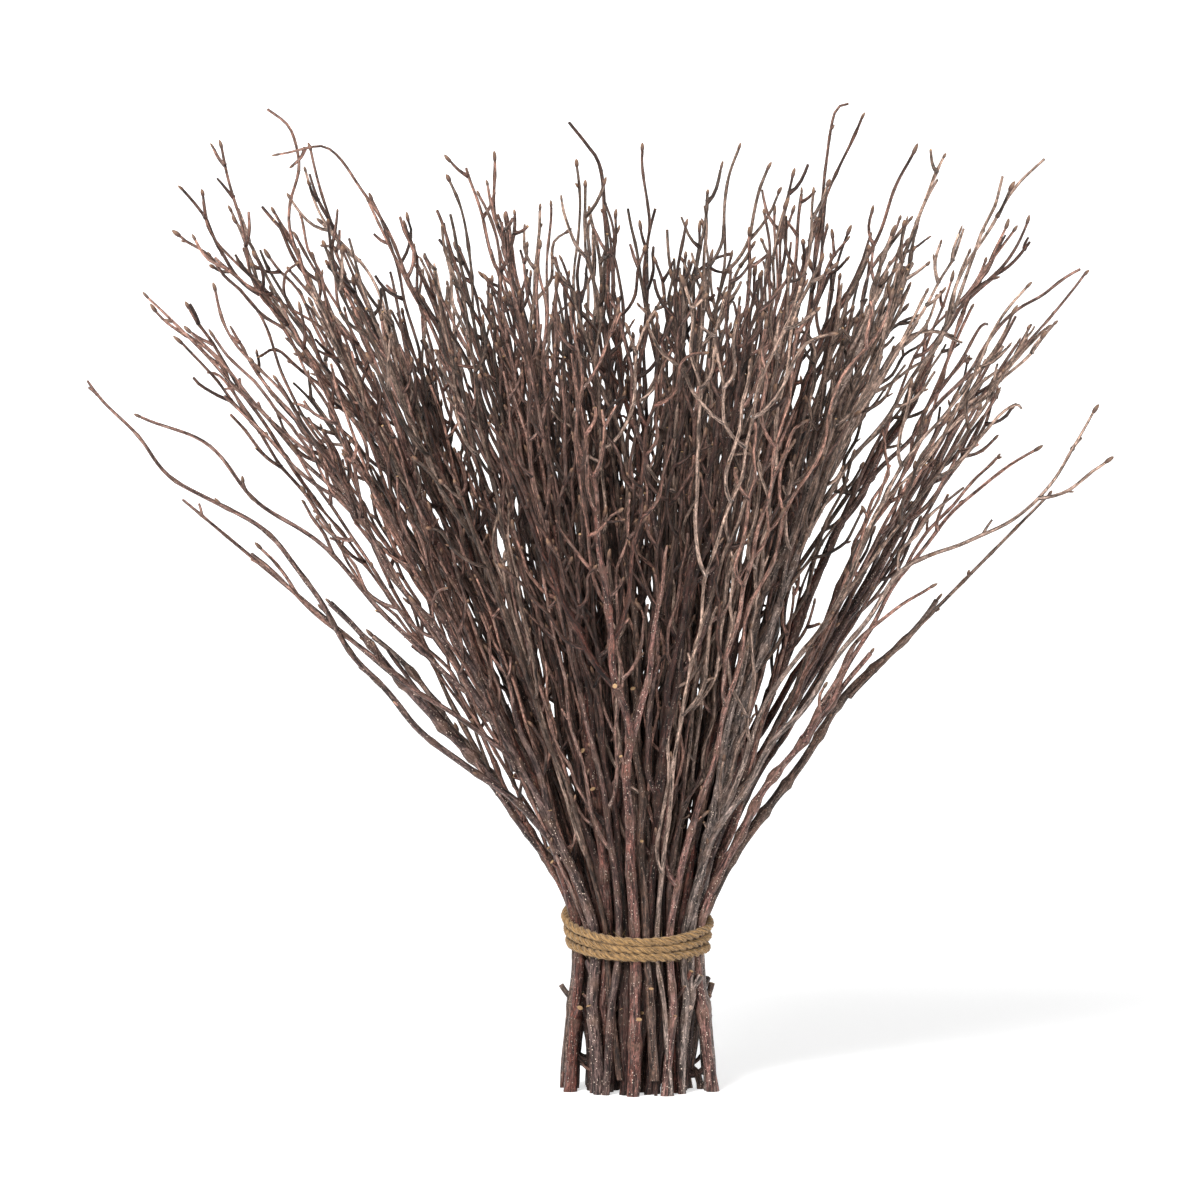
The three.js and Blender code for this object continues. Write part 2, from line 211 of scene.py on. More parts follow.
class Skin:
    """The tubes and cut faces of one piece, and the mesh made of them.

    Every point carries its twig's tone, its age from the stem's thickness, how near a node it is,
    and a grain place that runs along the wood. In cut faces age is the place from pith to bark, and
    in buds scar is the place along them. Every face lies on a strip of the bake map.
    """

    STRIP_LENGTH = 58.0
    STRIP_MARGIN = 0.35

    def __init__(self):
        self.points, self.tone, self.age, self.scar, self.grain = [], [], [], [], []
        self.sizes, self.corners, self.flat, self.material, self.strips = [], [], [], [], []
        self.strip_sizes = []
        self.count = 0

    def add_points(self, points, tone, age, scar, grain):
        first = self.count
        self.points.append(points)
        for store, value in ((self.tone, tone), (self.age, age), (self.scar, scar)):
            store.append(np.broadcast_to(value, len(points)))
        self.grain.append(grain)
        self.count += len(points)
        return first

    def add_faces(self, corners, flat, strips, material):
        """Faces of one size: corner indices, places on a strip from 0 to 1, and strip numbers."""
        count, size = corners.shape
        self.sizes.append(np.full(count, size))
        self.corners.append(corners.ravel())
        self.flat.append(flat.reshape(-1, 2))
        self.strips.append(np.repeat(strips, size))
        self.material.append(np.full(count, material))

    def new_strips(self, width, lengths):
        first = len(self.strip_sizes)
        self.strip_sizes += [(width, length) for length in lengths]
        return first

    def tube(self, points, radii, sides, tone, material=BARK, scar=0.0, seed=0.0,
             start="point", end="point", floor=None, lumps=None, axes=None, spin=0.0):
        """A round tube along points. Each end is a low cone or a cut face. Spin turns the grain."""
        across, other = axes or side_axes(points)
        angles = np.arange(sides) * 2 * np.pi / sides
        around = (np.cos(angles)[None, :, None] * across[:, None]
                  + np.sin(angles)[None, :, None] * other[:, None])
        wide = radii[:, None] * (1 if lumps is None else lumps)
        rings = points[:, None] + np.broadcast_to(wide, (len(points), sides))[..., None] * around
        if floor is not None:
            rings[0, :, 2] = floor
        run = run_length(points)
        turned = angles + spin * run[:, None]
        grain = np.stack(np.broadcast_arrays(
            radii[:, None] * np.cos(turned) + 17.0 * seed,
            radii[:, None] * np.sin(turned) - 9.0 * seed,
            run[:, None] + 211.0 * seed), axis=-1)
        age = np.clip((radii - 0.4) / 2.2, 0, 1)
        scars = np.broadcast_to(scar, len(points))
        first = self.add_points(rings.reshape(-1, 3), tone, np.repeat(age, sides),
                                np.repeat(scars, sides), grain.reshape(-1, 3))
        self.wall(first, len(points), sides, run, 2 * np.pi * radii.mean(), material)
        for kind, row in ((start, 0), (end, len(points) - 1)):
            if kind == "cut":
                self.cut_face(rings[row], points[row], tone, seed, row > 0)
            else:
                self.apex(first, row, sides, points, radii, tone, age, scars, grain, material)

    def wall(self, first, rings, sides, run, girth, material):
        """The side faces of a tube, cut into strips of the bake map along its length."""
        row, column = np.divmod(np.arange((rings - 1) * sides), sides)
        after = (column + 1) % sides
        corners = first + np.stack([row * sides + column, row * sides + after,
                                    (row + 1) * sides + after, (row + 1) * sides + column], axis=1)
        pieces = max(1, int(np.ceil(run[-1] / self.STRIP_LENGTH)))
        piece = np.minimum((run[:-1] / (run[-1] + 1e-6) * pieces).astype(int), pieces - 1)
        low = np.array([run[:-1][piece == k].min() for k in range(pieces)])
        high = np.array([run[1:][piece == k].max() for k in range(pieces)])
        strip = self.new_strips(girth, high - low)
        along = piece[row]
        bottom = (run[row] - low[along]) / (high - low)[along]
        top = (run[row + 1] - low[along]) / (high - low)[along]
        left, right = column / sides, (column + 1) / sides
        flat = np.stack([left, bottom, right, bottom, right, top, left, top], axis=1)
        self.add_faces(corners, flat, strip + along, material)

    def apex(self, first, row, sides, points, radii, tone, age, scars, grain, material):
        """Closes a tube in a low cone."""
        inner = 1 if row == 0 else row - 1
        ahead = unit(points[row] - points[inner])
        tip = points[row] + ahead * radii[row] * 0.6
        top = self.add_points(tip[None], tone, age[row], scars[row], grain[row].mean(0)[None])
        column = np.arange(sides)
        ring = first + row * sides
        pair = [ring + (column + 1) % sides, ring + column]
        if row:
            pair.reverse()
        corners = np.stack([*pair, np.full(sides, top)], axis=1)
        strip = self.new_strips(2 * np.pi * radii[row], [max(0.6, radii[row])])
        low, high = column / sides, (column + 1) / sides
        starts, ends = (low, high) if row else (high, low)
        flat = np.stack([starts, 0 * low, ends, 0 * low, (low + high) / 2, 1 + 0 * low], axis=1)
        self.add_faces(corners, flat, np.full(sides, strip), material)

    def cut_face(self, ring, centre, tone, seed, outward):
        """A sawn end: a ring of bark round pale wood."""
        sides = len(ring)
        middle = ring.mean(0)
        shares = (1.0, 0.86, 0.45)
        places = np.concatenate([middle + share * (ring - middle) for share in shares] + [middle[None]])
        place_age = np.append(np.repeat(shares, sides), 0.0)
        grain = places - middle + np.array([31.0 * seed, 0, 0])
        first = self.add_points(places, tone, place_age, 0.0, grain)
        column = np.arange(sides)
        after = (column + 1) % sides
        across, other = side_axes(np.array([centre, centre + 1e-3 * UP, centre + 2e-3 * UP]))
        spread = 0.5 + 0.5 * np.stack([(places - middle) @ across[0], (places - middle) @ other[0]],
                                      axis=1) / (np.linalg.norm(ring - middle, axis=1).max() + 1e-9)
        width = 2 * np.linalg.norm(ring - middle, axis=1).mean()
        strip = self.new_strips(width, [width])
        for level in range(2):
            low, high = level * sides, (level + 1) * sides
            corners = np.stack([low + column, low + after, high + after, high + column], axis=1)
            self.turned_faces(corners, spread, first, strip, outward)
        last = np.full(sides, 3 * sides)
        corners = np.stack([2 * sides + column, 2 * sides + after, last], axis=1)
        self.turned_faces(corners, spread, first, strip, outward)

    def turned_faces(self, corners, spread, first, strip, outward):
        if not outward:
            corners = corners[:, ::-1]
        self.add_faces(first + corners, spread[corners], np.full(len(corners), strip), CUT)

    def packed_strips(self):
        """Place and size of each strip on the unit square, in rows of falling height."""
        sizes = np.array(self.strip_sizes)
        order = np.argsort(-sizes[:, 1], kind="stable")
        side = np.sqrt((sizes + self.STRIP_MARGIN).prod(1).sum())
        while True:
            side *= 1.02
            corner = np.empty_like(sizes)
            x = y = tall = 0.0
            for k in order:
                width, height = sizes[k] + self.STRIP_MARGIN
                if x + width > side:
                    x, y, tall = 0.0, y + tall, 0.0
                corner[k] = x, y
                x, tall = x + width, max(tall, height)
            if y + tall <= side:
                return corner / side, sizes / side

    def piece(self, name, materials):
        """The finished object, in metres."""
        mesh = bpy.data.meshes.new(name)
        points = np.concatenate(self.points) * MM
        sizes = np.concatenate(self.sizes)
        corners = np.concatenate(self.corners)
        mesh.vertices.add(len(points))
        mesh.vertices.foreach_set("co", points.ravel().astype(np.float32))
        mesh.loops.add(len(corners))
        mesh.loops.foreach_set("vertex_index", corners.astype(np.int32))
        mesh.polygons.add(len(sizes))
        mesh.polygons.foreach_set("loop_start", (np.cumsum(sizes) - sizes).astype(np.int32))
        mesh.polygons.foreach_set("material_index", np.concatenate(self.material).astype(np.int32))
        mesh.polygons.foreach_set("use_smooth", np.concatenate(self.material) != CUT)
        for key in ("tone", "age", "scar"):
            layer = mesh.attributes.new(key, "FLOAT", "POINT")
            layer.data.foreach_set("value", np.concatenate(getattr(self, key)).astype(np.float32))
        layer = mesh.attributes.new("grain", "FLOAT_VECTOR", "POINT")
        layer.data.foreach_set("vector", np.concatenate(self.grain).ravel().astype(np.float32))
        corner, size = self.packed_strips()
        strips = np.concatenate(self.strips)
        flat = corner[strips] + np.concatenate(self.flat) * size[strips]
        bake = mesh.uv_layers.new(name="OFBake")
        bake.uv.foreach_set("vector", flat.ravel().astype(np.float32))
        mesh.update(calc_edges=True)
        mesh.validate()
        for material in materials:
            mesh.materials.append(material)
        return placed(name, mesh)


# -------- twigs

# How twigs of each order grow: 0 is the stem, 1 its side twigs, 2 theirs, and 3 the spurs.
Habit = namedtuple("Habit", "step sides gap chance share limits kink")
HABITS = [
    Habit(step=3.2, sides=10, gap=(14, 29), chance=0.48, share=(0.25, 1.0), limits=(16, 220), kink=0.0),
    Habit(step=3.6, sides=6, gap=(12, 26), chance=0.34, share=(0.2, 0.9), limits=(10, 90), kink=0.12),
    Habit(step=3.2, sides=5, gap=(8, 18), chance=0.08, share=(0.3, 0.8), limits=(5, 30), kink=0.22),
    Habit(step=2.8, sides=5, gap=(8, 14), chance=0.0, share=(0, 0), limits=(0, 0), kink=0.18),
]

# Below OPEN_CROWN side twigs turn inwards. A side twig ends at its ceiling and a stem at its trimmed tip,
# both drawn from a range. A stem that leans past FAR_LEAN is cut off lower.
FIRST_BRANCH = TIE_TOP + 6
LOWEST_BUD = TIE_TOP + 14
OPEN_CROWN = 168
CEILING = (378, 433)
TRIMMED_TIP = (366, 428)
FAR_LEAN = 0.55
FAR_KEPT = (0.66, 0.74)

# Past a habit's own chance, a node has a spur up to one margin and a bud up to the next.
SNAPPED, TIP_BUDDED, CURLED = 0.2, 0.72, 0.1
SPUR_MARGIN, BUD_MARGIN = 0.06, 0.3

STOUTNESS = (0.5, 0.7, 0.86, 0.98, 1.12)
TIP_RADIUS = 0.62
THINNEST_SIDE, THICKEST_STUB = 0.85, 1.7
BUD_LENGTH, BUD_RADIUS = 4.1, 0.86

# Stems that start beyond FLANK from the middle stand apart. Heels grow between HEELED and FLANK.
LOW, HIGH = (np.array(corner) / MM for corner in CAD_BOX)
FLANK, HEELED = 28.5, 20.0
FLANK_GAP_TOP = 40
ENVELOPE_MARGIN = 8.0
ENVELOPE = np.array([LOW - ENVELOPE_MARGIN, HIGH + ENVELOPE_MARGIN])
MIDDLE = np.array([(ROPE_LOW[0] + ROPE_HIGH[0]) / 2, ROPE_LOW[1] + (ROPE_HIGH[0] - ROPE_LOW[0]) / 2, 0])

# Long side twigs that make the outline: the greatest radius at the start, then the points they pass.
REACHING = [
    (1.7, [(-60, -30, 131), (-78, -38, 151), (-102, -42, 175), (-124, -46, 203), (-141, -49, 231),
           (-160, -50, 250), (-193, -50, 268), (-210, -50, 287), (-231, -50, 311)]),
    (1.2, [(-96, -36, 168), (-115, -40, 196), (-141, -43, 218), (-161, -43, 237)]),
    (1.3, [(-100, -26, 190), (-130, -30, 238), (-161, -32, 261), (-182, -33, 284), (-209, -34, 296)]),
    (1.3, [(-90, -26, 240), (-112, -30, 300), (-128, -33, 337), (-143, -34, 369), (-145, -34, 388),
           (-141, -33, 406), (-144, -33, 420), (-155, -33, 428)]),
    (1.4, [(-62, -30, 262), (-82, -34, 330), (-104, -38, 378), (-116, -39, 397), (-127, -38, 410),
           (-135, -38, 412), (-149, -38, 409)]),
    (0.8, [(-118, -18, 285), (-148, -20, 336), (-162, -21, 357), (-168, -21, 382), (-175, -20, 412)]),
    (0.7, [(-148, -20, 338), (-162, -21, 355), (-173, -22, 366), (-180, -23, 377), (-183, -23, 389)]),
    (1.1, [(-128, -26, 262), (-170, -29, 310), (-190, -30, 331), (-206, -30, 347)]),
    (1.8, [(48, -28, 122), (62, -36, 151), (80, -42, 175), (101, -46, 205), (117, -48, 227),
           (130, -49, 236), (147, -50, 242), (166, -50, 251), (183, -50, 267), (193, -50, 284),
           (201, -50, 297)]),
    (1.2, [(84, -36, 172), (98, -42, 196), (116, -44, 212), (131, -44, 222)]),
    (1.2, [(92, -20, 190), (128, -24, 238), (153, -25, 264), (177, -26, 281)]),
    (1.3, [(98, -26, 270), (130, -29, 320), (142, -30, 348), (153, -31, 371), (164, -31, 388),
           (181, -31, 407)]),
    (1.2, [(104, -18, 262), (140, -20, 305), (158, -20, 328), (170, -21, 343), (183, -21, 350),
           (198, -21, 359)]),
    (1.2, [(48, -30, 290), (66, -34, 335), (80, -36, 368), (86, -37, 400), (88, -37, 418),
           (91, -37, 428), (96, -37, 430)]),
    (1.3, [(-6, -30, 300), (-7, -33, 345), (-9, -35, 385), (-12, -35, 404), (-17, -35, 412),
           (-25, -35, 422)]),
    (1.5, [(66, -32, 290), (96, -36, 350), (110, -37, 374), (116, -37, 395), (123, -37, 409)]),
]


def level_outward(place):
    """The level direction from the bundle's middle to a place."""
    return unit((place - MIDDLE) * np.array([1, 1, 0]))


def node_places(rng, start, length, gap):
    """Distances along a twig at which its nodes sit."""
    places = start + np.cumsum(rng.uniform(*gap, size=int(length / gap[0]) + 2))
    return places[places < length - 0.35 * gap[0]]


def swelling(run, nodes, width):
    """How near each point of a line is to a node, from 0 to 1."""
    if not len(nodes):
        return np.zeros(len(run))
    return np.exp(-0.5 * ((run[:, None] - nodes[None]) / width) ** 2).max(1)


def wander(rng, run, waves):
    """A smooth wandering value near 1 in size: two waves of random length and phase."""
    lengths = rng.uniform(*waves, size=2)
    phases = rng.uniform(0, 2 * np.pi, 2)
    return 0.6 * np.sin(2 * np.pi * run[:, None] / lengths + phases).sum(1)


def zigzagged(rng, run, nodes, low, high):
    """A sideways stray that changes hand at each node."""
    turns = np.append(0, (-1.0) ** np.arange(len(nodes)) * rng.uniform(low, high, len(nodes)))
    return np.interp(run, np.append(0, nodes), turns)


def unevenness(rng, shape, width, amount):
    """Values near 1 that vary smoothly from row to row."""
    return softened(rng.normal(0, 1, shape), width) * amount + 1


def add_bud(skin, rng, start, ahead, scale, tone):
    """A pointed bud, slightly bent, wrapped in scales."""
    length = BUD_LENGTH * scale * rng.uniform(0.7, 1.35)
    along = np.array([0.0, 0.18, 0.45, 0.75, 0.95])
    wide = np.array([0.7, 1.0, 1.06, 0.8, 0.34]) * BUD_RADIUS * scale * rng.uniform(0.85, 1.15)
    bend = unit(rng.normal(size=3)) * 0.14 * length
    points = start + length * along[:, None] * ahead + np.square(along)[:, None] * bend
    skin.tube(points, wide, 5, tone, material=BUD, seed=rng.random(), scar=along)


def add_stub(skin, rng, start, ahead, side, radius, parent, tone, hooked=False):
    """A side twig cut or snapped off short, with a pale end. A hooked one curls back up."""
    length = parent * 1.1 + radius * (rng.uniform(3.8, 6.2) if hooked else rng.uniform(0.6, 4) ** 1.3)
    heading = unit(ahead * (-0.2 if hooked else rng.uniform(0.5, 1.2)) + side)
    along = np.linspace(0, 1, 6)[:, None]
    lift = (0.75 if hooked else 0.2) * length
    points = start + along * length * heading + along ** 2.5 * lift * ahead
    wide = radius * np.array([1.25, 1.0, 0.92, 0.88, 0.86, 0.84])
    skin.tube(points, wide, 8, tone, end="cut", seed=rng.random())


def vigour(place):
    """How readily side twigs grow: most in the crown's flanks, hardly at all further out."""
    outward = np.linalg.norm((place - MIDDLE)[:2])
    flank = np.interp(outward / (place[2] - 20), (0.15, 0.38, 0.56, 0.68), (0.95, 1.15, 1.1, 0.15))
    return flank * np.interp(place[2], (90, 200, 270), (0.75, 0.9, 1.3))


def inward(start, away):
    """The same direction, turned to the bundle's middle where the bundle is still narrow."""
    outward = level_outward(start)
    if start[2] < OPEN_CROWN and away @ outward > 0.1:
        return away - 2 * (away @ outward) * outward
    return away


def add_twig(skin, rng, start, ahead, side, length, radius, order, tone):
    """A side twig: it leaves its parent at an angle, bends up beside it and kinks at each node."""
    habit = HABITS[order]
    run = np.linspace(0, length, max(5, int(length / habit.step) + 1))
    nodes = node_places(rng, 0.0, length, habit.gap)
    turn = np.searchsorted(nodes, run)
    kinks = habit.kink * (-1.0) ** np.arange(len(nodes) + 1) * rng.uniform(0.3, 1.4, len(nodes) + 1)
    kinks += 0.25 * habit.kink * np.cumsum(rng.normal(0, 1, len(nodes) + 1))
    curl = rng.uniform(0.8, 2.2) if rng.random() < CURLED else rng.normal(0, 0.25)
    openness = np.clip((start[2] - 110) / 160, 0, 1)
    settled = rng.uniform(0.02, 0.1 + 0.2 * openness)
    opened = rng.uniform(0.5, 0.95)
    lean = settled + (opened - settled) * np.exp(-run / rng.uniform(3.5, 9))
    lean += kinks[turn] + curl * np.clip((run / length - 0.6) / 0.4, 0, 1) ** 1.5
    lean += 0.12 * wander(rng, run, (24, 80))
    twist = rng.uniform(-0.8, 0.8) * run / length + 0.4 * wander(rng, run, (36, 100))
    outward = np.cos(twist)[:, None] * side + np.sin(twist)[:, None] * np.cross(ahead, side)
    heading = np.cos(lean)[:, None] * ahead + np.sin(lean)[:, None] * outward
    heading = unit(heading + rng.uniform(0.0, 0.25) * (run / length)[:, None] * UP)
    points = start + np.vstack([np.zeros(3), np.cumsum(heading[:-1] * np.diff(run)[:, None], axis=0)])
    ceiling = np.array([*ENVELOPE[1][:2], rng.uniform(*CEILING)])
    inside = ((points > ENVELOPE[0]) & (points < ceiling)).all(1)
    if not inside.all():
        points = points[:max(0, int(np.argmin(inside)) - 1)]
    if len(points) > 4:
        shade = np.clip(tone + rng.normal(0, 0.3), 0, 1)
        grow_twig(skin, rng, softened(points, 0.6), radius, order, shade, nodes, side)


def grow_twig(skin, rng, points, radius, order, tone, nodes, side):
    """The wood, tip and nodes of a side twig whose line is known."""
    run = run_length(points)
    length = run[-1]
    tip = min(radius * 0.8, TIP_RADIUS * rng.uniform(0.85, 1.2))
    near = swelling(run, nodes, 1.1)
    radii = tip + (radius - tip) * (1 - run / length) ** 0.8
    radii = radii * (1 + 0.2 * near) + 0.4 * radius * np.exp(-run / 1.3)
    snapped = rng.random() < SNAPPED
    skin.tube(points, radii, HABITS[order].sides, tone, scar=near, seed=rng.random(),
              end="cut" if snapped else "point")
    if not snapped and rng.random() < TIP_BUDDED:
        add_bud(skin, rng, points[-1], unit(points[-1] - points[-2]), rng.uniform(0.7, 1.15), tone)
    dress_nodes(skin, rng, points, radii, run, nodes, order, tone, side)


def dress_nodes(skin, rng, points, radii, run, nodes, order, tone, side):
    """What grows at each node of a twig, left and right in turn: a side twig, a spur or a bud."""
    habit = HABITS[order]
    length = run[-1]
    tangents = unit(np.gradient(points, axis=0))
    hand = 1.0
    for place in nodes[nodes < length - 3]:
        index = int(np.searchsorted(run, place))
        start, ahead, radius = points[index], tangents[index], radii[index]
        swing = rng.uniform(-0.8, 0.8)
        square = perpendicular(ahead, side)
        away = hand * (np.cos(swing) * square + np.sin(swing) * np.cross(ahead, square))
        hand = -hand
        draw = rng.random()
        if start[2] < FIRST_BRANCH:
            continue
        away = perpendicular(ahead, inward(start, away))
        if draw < habit.chance * vigour(start):
            share = habit.share[0] + (habit.share[1] - habit.share[0]) * rng.random() ** 1.2
            reach = np.clip(share * (length - place), *habit.limits)
            girth = max(THINNEST_SIDE, radius * rng.uniform(0.5, 0.8))
            add_twig(skin, rng, start, ahead, away, reach, girth, order + 1, tone)
        elif draw < habit.chance + SPUR_MARGIN:
            add_twig(skin, rng, start, ahead, away, rng.uniform(3, 8), min(radius, 0.66), 3, tone)
        elif draw < habit.chance + BUD_MARGIN and start[2] > LOWEST_BUD:
            heading = unit(ahead + 0.42 * away)
            add_bud(skin, rng, start + away * radius * 0.7, heading, rng.uniform(0.5, 0.85), tone)


def dress_stem(skin, rng, rows, sides, tone):
    """A main stem from its cut end on the floor to its tip, with all that grows on it."""
    habit = HABITS[0]
    rows = softened(even_rows(rows, habit.step), SOFTENING / habit.step)
    lean = np.linalg.norm(rows[-1, :2] - rows[0, :2]) / rows[-1, 2]
    kept = rng.uniform(*FAR_KEPT) if lean > FAR_LEAN else 1.0
    rows = rows[rows[:, 2] < min(kept * rows[-1, 2], rng.uniform(*TRIMMED_TIP))]
    run = run_length(rows[:, :3])
    height = rows[:, 2]
    nodes = node_places(rng, rng.uniform(4, 16), run[-1], habit.gap)
    free = np.clip(np.abs(height - TIE_MIDDLE) / 55 - 0.25, 0.08, 1)
    risen = np.clip((height - TIE_TOP) / 300, 0, 1)
    zigzag = zigzagged(rng, run, nodes, 0.4, 1.1)
    across, other = side_axes(rows[:, :3])
    swayed = (0.5 + 3.2 * risen) * wander(rng, run, (50, 130))
    strayed = (0.5 + 3.2 * risen) * wander(rng, run, (50, 130))
    points = rows[:, :3] + (free * (zigzag + swayed))[:, None] * across
    stout = rng.choice(STOUTNESS)
    points = softened(points + (free * strayed)[:, None] * other + splayed(rng, rows, stout), 0.7)
    flank = abs(rows[0, 0] - MIDDLE[0]) > FLANK
    near = swelling(run, nodes, 2.4 if flank else 1.8)
    lumps = unevenness(rng, (len(rows), sides), 1.1, 0.1)
    girth = unevenness(rng, (len(rows), 1), 4, 0.12)[:, 0]
    knobbly = 0.8 if flank else rng.uniform(0.14, 0.5)
    radii = rows[:, 3] * stout * (1 - 0.2 * risen) * girth
    radii = np.maximum(TIP_RADIUS, radii) * (1 + (0.08 + knobbly * free) * near)
    skin.tube(points, radii, sides, tone, scar=near, seed=rng.random(), lumps=lumps,
              start="cut", floor=rows[0, 2])
    add_bud(skin, rng, points[-1], unit(points[-1] - points[-2]), rng.uniform(0.8, 1.1), tone)
    add_stubs(skin, rng, points, radii, run, nodes, tone)
    add_heel(skin, rng, points, radii, tone)
    dress_nodes(skin, rng, points, radii, run, nodes, 0, tone, across[len(across) // 2])


def splayed(rng, rows, stout):
    """How far a stem's foot strays: sideways, to cross its neighbours, and apart at the two flanks."""
    foot = np.clip(1 - rows[:, 2] / TIE_BOTTOM, 0, 1)[:, None]
    outward = level_outward(rows[0, :3])
    across = rows[0, 0] - MIDDLE[0]
    freedom = 1.8 if stout < 0.6 else 1.0
    stray = rng.normal(0, freedom * np.interp(abs(across), (12, 22), (5.0, 1.0)))
    apart = np.array([0.7 * np.sign(across) if abs(across) > FLANK else -0.25 * across, 0, 0])
    low = np.clip(1 - rows[:, 2] / FLANK_GAP_TOP, 0, 1)[:, None] ** 0.7
    return low * apart + foot * (stray * np.cross(UP, outward) + 0.35 * abs(stray) * outward)


def add_stubs(skin, rng, points, radii, run, nodes, tone):
    """Knobs and short cut side twigs on the bare lower stem, clear of the rope."""
    for place in nodes:
        index = int(np.searchsorted(run, place))
        height = points[index, 2]
        bare = 5 < height < TIE_BOTTOM - 6 or FIRST_BRANCH + 4 < height < 200
        if not bare or rng.random() > np.interp(height, (18, 24, TIE_BOTTOM, TIE_TOP), (0.8, 0.5, 0.5, 0.14)):
            continue
        ahead = unit(points[index + 1] - points[index - 1])
        outward = level_outward(points[index])
        side = perpendicular(ahead, outward + 0.6 * rng.normal(size=3))
        girth = min(THICKEST_STUB, radii[index] * rng.uniform(0.42, 0.72))
        hooked = height < 18 and rng.random() < 0.7
        add_stub(skin, rng, points[index], ahead, side, girth, radii[index], tone, hooked)


def add_heel(skin, rng, points, radii, tone):
    """The hooked heel of a torn side twig, low on the stems beside the two flank gaps."""
    across = points[0, 0] - MIDDLE[0]
    if not HEELED < abs(across) < FLANK:
        return
    index = int(np.searchsorted(points[:, 2], rng.uniform(4, 12)))
    ahead = unit(points[index + 1] - points[index - 1])
    side = perpendicular(ahead, np.array([np.sign(across), 0.4 * rng.normal(), 0]))
    add_stub(skin, rng, points[index], ahead, side, 0.6 * radii[index], radii[index], tone, True)


def dress_fork(skin, rng, rows, tone):
    """A main fork, along its solid's line."""
    rows = softened(even_rows(rows, HABITS[1].step), SOFTENING / HABITS[1].step)
    run = run_length(rows[:, :3])
    nodes = node_places(rng, 6.0, run[-1], HABITS[0].gap)
    radius = rows[0, 3]
    grow_twig(skin, rng, rows[:, :3], radius, 1, tone, nodes, side_axes(rows[:, :3])[0][0])


def curve_through(stops, step):
    """Points on a smooth curve through given stops."""
    stops = np.array(stops, float)
    padded = np.vstack([2 * stops[0] - stops[1], stops, 2 * stops[-1] - stops[-2]])
    share = np.linspace(0, 1, 9)[:-1, None]
    parts = []
    for before, start, end, after in zip(padded, padded[1:], padded[2:], padded[3:]):
        bend = 2 * start - 2 * end + (end - before) / 2 + (after - start) / 2
        pull = -3 * start + 3 * end - (end - before) - (after - start) / 2
        parts.append(start + share * (end - before) / 2 + share ** 2 * pull + share ** 3 * bend)
    return even_rows(np.vstack([*parts, stops[-1:]]), step)


def nearest_stem(lines, place):
    """Which outer stem passes nearest to a place, and its line."""
    def gap(name):
        return np.linalg.norm(lines[name][0][:, :3] - place, axis=1).min()
    name = min((name for name in lines if name.startswith("twig")), key=gap)
    return name, lines[name][0]


def reaching_twigs(lines):
    """The long side twigs of the outline, each listed under the stem that it grows from."""
    grown = {}
    for radius, stops in REACHING:
        name, stem = nearest_stem(lines, stops[0])
        root, fork, beside = ([np.interp(stops[0][2] - drop, stem[:, 2], column) for column in stem.T]
                              for drop in (26, 17, 2))
        leaving = (np.array(beside[:3]) * 0.6 + np.array(stops[0]) * 0.4)
        points = curve_through([root[:3], fork[:3], leaving, *stops[1:]], HABITS[1].step)
        points = np.clip(points, *ENVELOPE)
        grown.setdefault(name, []).append((points, min(radius, 0.85 * root[3])))
    return grown


def dress_reaching(skin, rng, points, radius, tone):
    """A long side twig of the outline, wandering a little about its line."""
    run = run_length(points)
    nodes = node_places(rng, 4.0, run[-1], HABITS[0].gap)
    across, other = side_axes(points)
    zigzag = zigzagged(rng, run, nodes, 0.2, 0.9)
    points = points + zigzag[:, None] * across + 0.8 * wander(rng, run, (30, 70))[:, None] * other
    grow_twig(skin, rng, points, radius, 1, tone, nodes, across[0])


def inner_stems(rng, rows, count):
    """Lines of the single twigs that one inner bundle's solid stands in for."""
    tie = np.interp(TIE_MIDDLE, rows[:, 2], rows[:, 3])
    own = tie / (1 + 1 / np.sin(np.pi / count)) * rng.uniform(0.75, 1.0, count)
    turn = rng.uniform(0, 2 * np.pi)
    above = np.clip((rows[:, 2] - TIE_TOP) / 330, 0, 1)
    below = np.clip(1 - rows[:, 2] / TIE_BOTTOM, 0, 1)
    lines = []
    for k in range(count):
        angle = turn + 2 * np.pi * k / count + rng.uniform(-0.5, 0.5) * rows[:, 2] / 420
        reach = (tie - own[k]) * (1 + rng.uniform(0.05, 0.35) * below) + rng.uniform(14, 84) * above ** 1.1
        top = rows[-1, 2] - rng.uniform(0, 34)
        size = int((rows[:, 2] <= top).sum())
        line = rows[:size].copy()
        line[:, 0] += (reach * np.cos(angle))[:size]
        line[:, 1] += (reach * np.sin(angle))[:size]
        line[:, 3] = own[k] * 1.14 * (1 - 0.78 * (line[:, 2] / line[-1, 2]) ** 0.9)
        lines.append(line)
    return lines


# -------- the rope

# The rope, a little thicker than its solid: turns counted from the back, heights of front and knot.
ROPE_RADIUS = 1.95
ROPE_TURNS = 3
ROPE_PITCH = 3.3
ROPE_LOWEST_FRONT = 60.4
ROPE_BACK_RISE = (5, 17)
KNOT_HEIGHT = 73
KNOT_SPAN = 0.3 * np.pi
KNOT_START = 0.5
STRANDS = 3
STRAND_OFFSET, STRAND_RADIUS = 0.52, 0.52
LAY = 12.5
ROPE_STEP = 1.15

